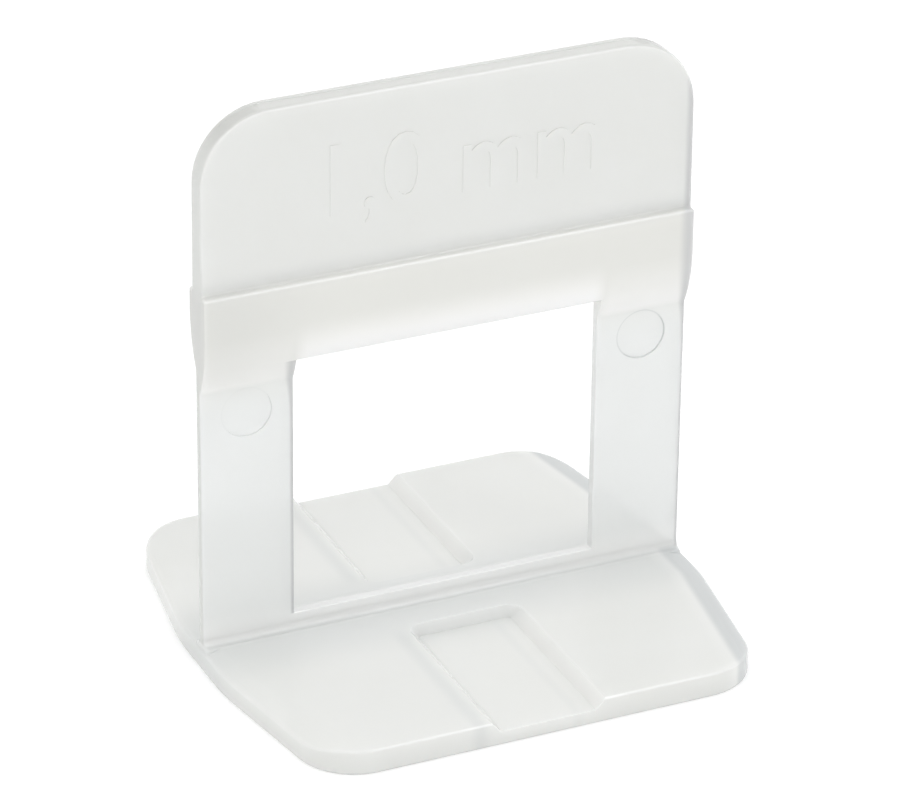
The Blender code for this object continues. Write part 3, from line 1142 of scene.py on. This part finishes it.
def floor_paper(stage):
    """Matt white paper that looks white and still takes a shadow."""
    material = bpy.data.materials.new("floor_paper")
    material.use_nodes = True
    tree = material.node_tree
    shader = tree.nodes["Principled BSDF"]
    tone = stage.floor_colour
    shader.inputs["Base Color"].default_value = (tone, tone, tone, 1.0)
    shader.inputs["Roughness"].default_value = PAPER_ROUGHNESS
    shader.inputs["Specular IOR Level"].default_value = 0.0
    shader.inputs["Emission Color"].default_value = WHITE
    glow = add_math(tree, "MULTIPLY", white_for_eyes(tree), stage.floor_glow)
    wire(tree, glow, shader.inputs["Emission Strength"])
    return material


def add_lamp(name, power, size, direction, distance):
    """A soft square lamp that faces the clip from a direction."""
    lamp = bpy.data.lights.new(name, "AREA")
    lamp.shape = "SQUARE"
    lamp.size = size
    lamp.energy = power
    item = bpy.data.objects.new(name, lamp)
    towards = Vector(direction).normalized()
    middle = (CLIP_LOW + CLIP_HIGH) / 2
    item.location = middle + towards * distance
    item.rotation_euler = towards.to_track_quat("Z", "Y").to_euler()
    bpy.context.scene.collection.objects.link(item)


class LEVELLINGCLIP_OT_stage(bpy.types.Operator):
    """Set up the pale floor, the soft light and the camera"""

    bl_idname = "levellingclip.stage"
    bl_label = "Stage"

    def execute(self, context):
        stage = context.scene.levelling_clip_stage
        self.add_floor(stage)
        self.add_light(context.scene, stage)
        self.add_camera(context.scene, stage)
        context.scene.view_settings.view_transform = "Standard"
        return {"FINISHED"}

    def add_floor(self, stage):
        """A round floor just under the clip."""
        shape = bmesh.new()
        bmesh.ops.create_circle(
            shape, cap_ends=True, radius=stage.floor_radius, segments=FLOOR_SIDES
        )
        floor = add_mesh("floor", shape)
        floor.location.z = CLIP_LOW.z - stage.floor_gap
        floor.data.materials.append(floor_paper(stage))

    def add_light(self, scene, stage):
        """Even light that is dimmer from the right, and the lamps."""
        world = bpy.data.worlds.new("studio")
        world.use_nodes = True
        tree = world.node_tree
        light = tree.nodes["Background"]
        towards = add_node(tree, "ShaderNodeTexCoord").outputs["Generated"]
        rightward, _, _ = add_split(tree, towards)
        dimming = add_band(tree, rightward, *SKY_TURN)
        sky = add_mix(tree, dimming, stage.sky_left, stage.sky_right)
        wire(tree, sky, light.inputs["Color"])
        white = add_node(tree, "ShaderNodeBackground")
        white.inputs["Color"].default_value = WHITE
        white.inputs["Strength"].default_value = 1.0
        mix = add_node(tree, "ShaderNodeMixShader")
        wire(tree, white_for_eyes(tree), mix.inputs["Fac"])
        wire(tree, light.outputs["Background"], mix.inputs[1])
        wire(tree, white.outputs["Background"], mix.inputs[2])
        wire(tree, mix.outputs["Shader"], tree.nodes["World Output"].inputs["Surface"])
        scene.world = world
        for name, power, size, direction, distance in LAMPS:
            add_lamp(name, getattr(stage, power), size, direction, distance)

    def add_camera(self, scene, stage):
        """The camera, at the photograph's viewing angle."""
        azimuth, elevation, roll = (
            stage.camera_azimuth,
            stage.camera_elevation,
            stage.camera_roll,
        )
        back = Vector(
            (
                -math.sin(azimuth) * math.cos(elevation),
                -math.cos(azimuth) * math.cos(elevation),
                math.sin(elevation),
            )
        )
        right = (-back).cross(Vector((0.0, 0.0, 1.0))).normalized()
        up = right.cross(-back)
        rolled_right = right * math.cos(roll) + up * math.sin(roll)
        rolled_up = up * math.cos(roll) - right * math.sin(roll)
        data = bpy.data.cameras.new("camera")
        data.lens = stage.camera_lens
        data.clip_start = NEAREST_SEEN
        camera = bpy.data.objects.new("camera", data)
        place = Vector(stage.camera_target) + back * stage.camera_distance
        turn = Matrix((rolled_right, rolled_up, back)).transposed()
        camera.matrix_world = Matrix.Translation(place) @ turn.to_4x4()
        scene.collection.objects.link(camera)
        scene.camera = camera


OPERATORS = (
    LEVELLINGCLIP_OT_moulding,
    LEVELLINGCLIP_OT_parting_line,
    LEVELLINGCLIP_OT_width_mark,
    LEVELLINGCLIP_OT_shading,
    LEVELLINGCLIP_OT_stage,
)


class LEVELLINGCLIP_PT_panel(bpy.types.Panel):
    """Lists the clip's operators and sizes in the sidebar"""

    bl_idname = "LEVELLINGCLIP_PT_panel"
    bl_label = "Levelling Clip"
    bl_space_type = "VIEW_3D"
    bl_region_type = "UI"
    bl_category = "Levelling Clip"

    def draw(self, context):
        layout = self.layout
        for operator in OPERATORS:
            layout.operator(operator.bl_idname)
        for name in SETTINGS:
            box = layout.box()
            settings = getattr(context.scene, name)
            for key in settings.__annotations__:
                box.prop(settings, key)


SETTINGS = {
    "levelling_clip_moulding": LevellingClipMoulding,
    "levelling_clip_mark": LevellingClipMark,
    "levelling_clip_plastic": LevellingClipPlastic,
    "levelling_clip_tones": LevellingClipTones,
    "levelling_clip_stage": LevellingClipStage,
}
CLASSES = (*SETTINGS.values(), *OPERATORS, LEVELLINGCLIP_PT_panel)


def register():
    """Add the classes and the scene's settings."""
    for item in CLASSES:
        bpy.utils.register_class(item)
    for name, group in SETTINGS.items():
        setattr(bpy.types.Scene, name, PointerProperty(type=group))


def unregister():
    """Take the settings and the classes away again."""
    for name in SETTINGS:
        delattr(bpy.types.Scene, name)
    for item in reversed(CLASSES):
        bpy.utils.unregister_class(item)


def main():
    """Build every piece in order, then the stage."""
    register()
    bpy.ops.levellingclip.moulding()
    bpy.ops.levellingclip.parting_line()
    bpy.ops.levellingclip.width_mark()
    bpy.ops.levellingclip.shading()
    bpy.ops.levellingclip.stage()


if __name__ == "__main__":
    main()
